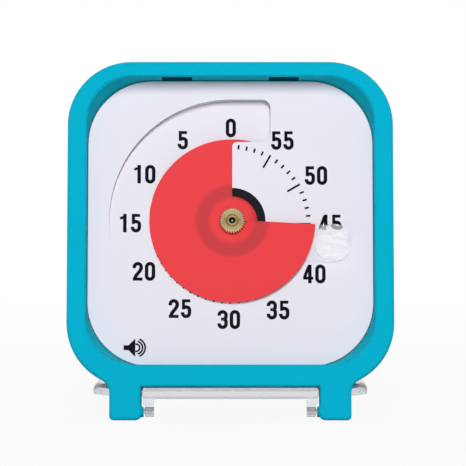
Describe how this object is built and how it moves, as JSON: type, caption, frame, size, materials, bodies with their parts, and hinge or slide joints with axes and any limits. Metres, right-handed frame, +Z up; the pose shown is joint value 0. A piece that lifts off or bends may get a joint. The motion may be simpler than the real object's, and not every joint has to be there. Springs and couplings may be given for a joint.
{
  "type": "visual countdown timer",
  "caption": "Square teal countdown timer with a red see-through time disc set by a clear knob, a printed minute dial, and a clear lid that folds down behind it as a stand.",
  "frame": {"origin": "centre of the bounding box on the table plane", "axes": "+Z up, +X to the right of someone who looks at the dial, -Y the side that the dial faces; the dial leans back by 11.8 degrees"},
  "size_m": [0.08, 0.086, 0.0868],
  "materials": {
    "housing_teal": "satin moulded plastic",
    "dial_white": "satin moulded plastic with a printed scale",
    "ring_black": "satin",
    "film_red": "see-through film",
    "clear_plastic": "polished clear acrylic",
    "brass": "machined",
    "steel": "bright",
    "hub_red": "moulded",
    "inner_black": "moulded",
    "inner_white": "moulded",
    "magnet_iron": "pressed",
    "copper_winding": "enamelled wire",
    "board_green": "laminate",
    "crystal_can": "drawn can",
    "switch_black": "moulded",
    "cell_jacket": "printed sleeve"
  },
  "bodies": {
    "body": {"front_housing": "housing_teal", "rear_cover": "housing_teal", "dial_plate": "dial_white", "hub_ring": "ring_black", "spindle_bush": "brass", "chassis_plate": "inner_black", "movement_front_plate": "inner_black", "movement_case": "inner_black", "movement_screws": "steel", "stator": "magnet_iron", "coil": "copper_winding", "circuit_board": "board_green", "quartz_crystal": "crystal_can", "timing_chip": "inner_black", "buzzer": "inner_black", "switch_body": "switch_black", "battery_tray": "inner_white", "battery_cell": "cell_jacket", "battery_spring": "steel", "positive_contact": "steel", "case_screws": "steel", "hinge_pins": "steel"},
    "spindle": {"spindle": "steel", "centre_wheel": "inner_white", "clutch_spring": "steel"},
    "disc": {"time_disc": "film_red", "disc_tab": "clear_plastic", "setting_knob": "clear_plastic", "knurled_nut": "brass", "disc_washer": "brass", "disc_hub": "hub_red"},
    "intermediate_gear": {"intermediate_wheel": "inner_white"},
    "rotor": {"rotor_pinion": "inner_white", "rotor_magnet": "magnet_iron"},
    "lid": {"lens_lid": "clear_plastic"},
    "battery_door": {"battery_door": "housing_teal"},
    "alert_switch": {"switch_slider": "switch_black"}
  },
  "joints": [
    {"name": "disc_turn", "type": "hinge", "parent": "body", "child": "spindle", "pos_m": [0.00045, -0.0273, 0.04776], "axis": [0, 0.9789, -0.2043], "range_deg": [-92.9, 267.1]},
    {"name": "disc_lift", "type": "slide", "parent": "spindle", "child": "disc", "axis": [0, 0.9789, -0.2043], "range_m": [-0.00067, 0.00193]},
    {"name": "intermediate_turn", "type": "hinge", "parent": "body", "child": "intermediate_gear", "pos_m": [-0.01112, -0.01831, 0.05018], "axis": [0, 0.9789, -0.2043], "range_deg": [-1604, 559]},
    {"name": "rotor_turn", "type": "hinge", "parent": "body", "child": "rotor", "pos_m": [-0.00898, -0.01584, 0.06205], "axis": [0, 0.9789, -0.2043], "range_deg": [-3346, 9617]},
    {"name": "lid_hinge", "type": "hinge", "parent": "body", "child": "lid", "pos_m": [0, -0.03975, 0.00178], "axis": [-1, 0, 0], "range_deg": [0, 280]},
    {"name": "door_slide", "type": "slide", "parent": "body", "child": "battery_door", "axis": [1, 0, 0], "range_m": [0, 0.012]},
    {"name": "alert_slide", "type": "slide", "parent": "body", "child": "alert_switch", "axis": [0, 0.2043, 0.9789], "range_m": [0, 0.0035]}
  ],
  "couplings": [
    {"joint": "disc_lift", "follows": "disc_turn", "m_per_rad": 0.0004138},
    {"joint": "intermediate_turn", "follows": "disc_turn", "ratio": -6},
    {"joint": "rotor_turn", "follows": "disc_turn", "ratio": 36}
  ]
}
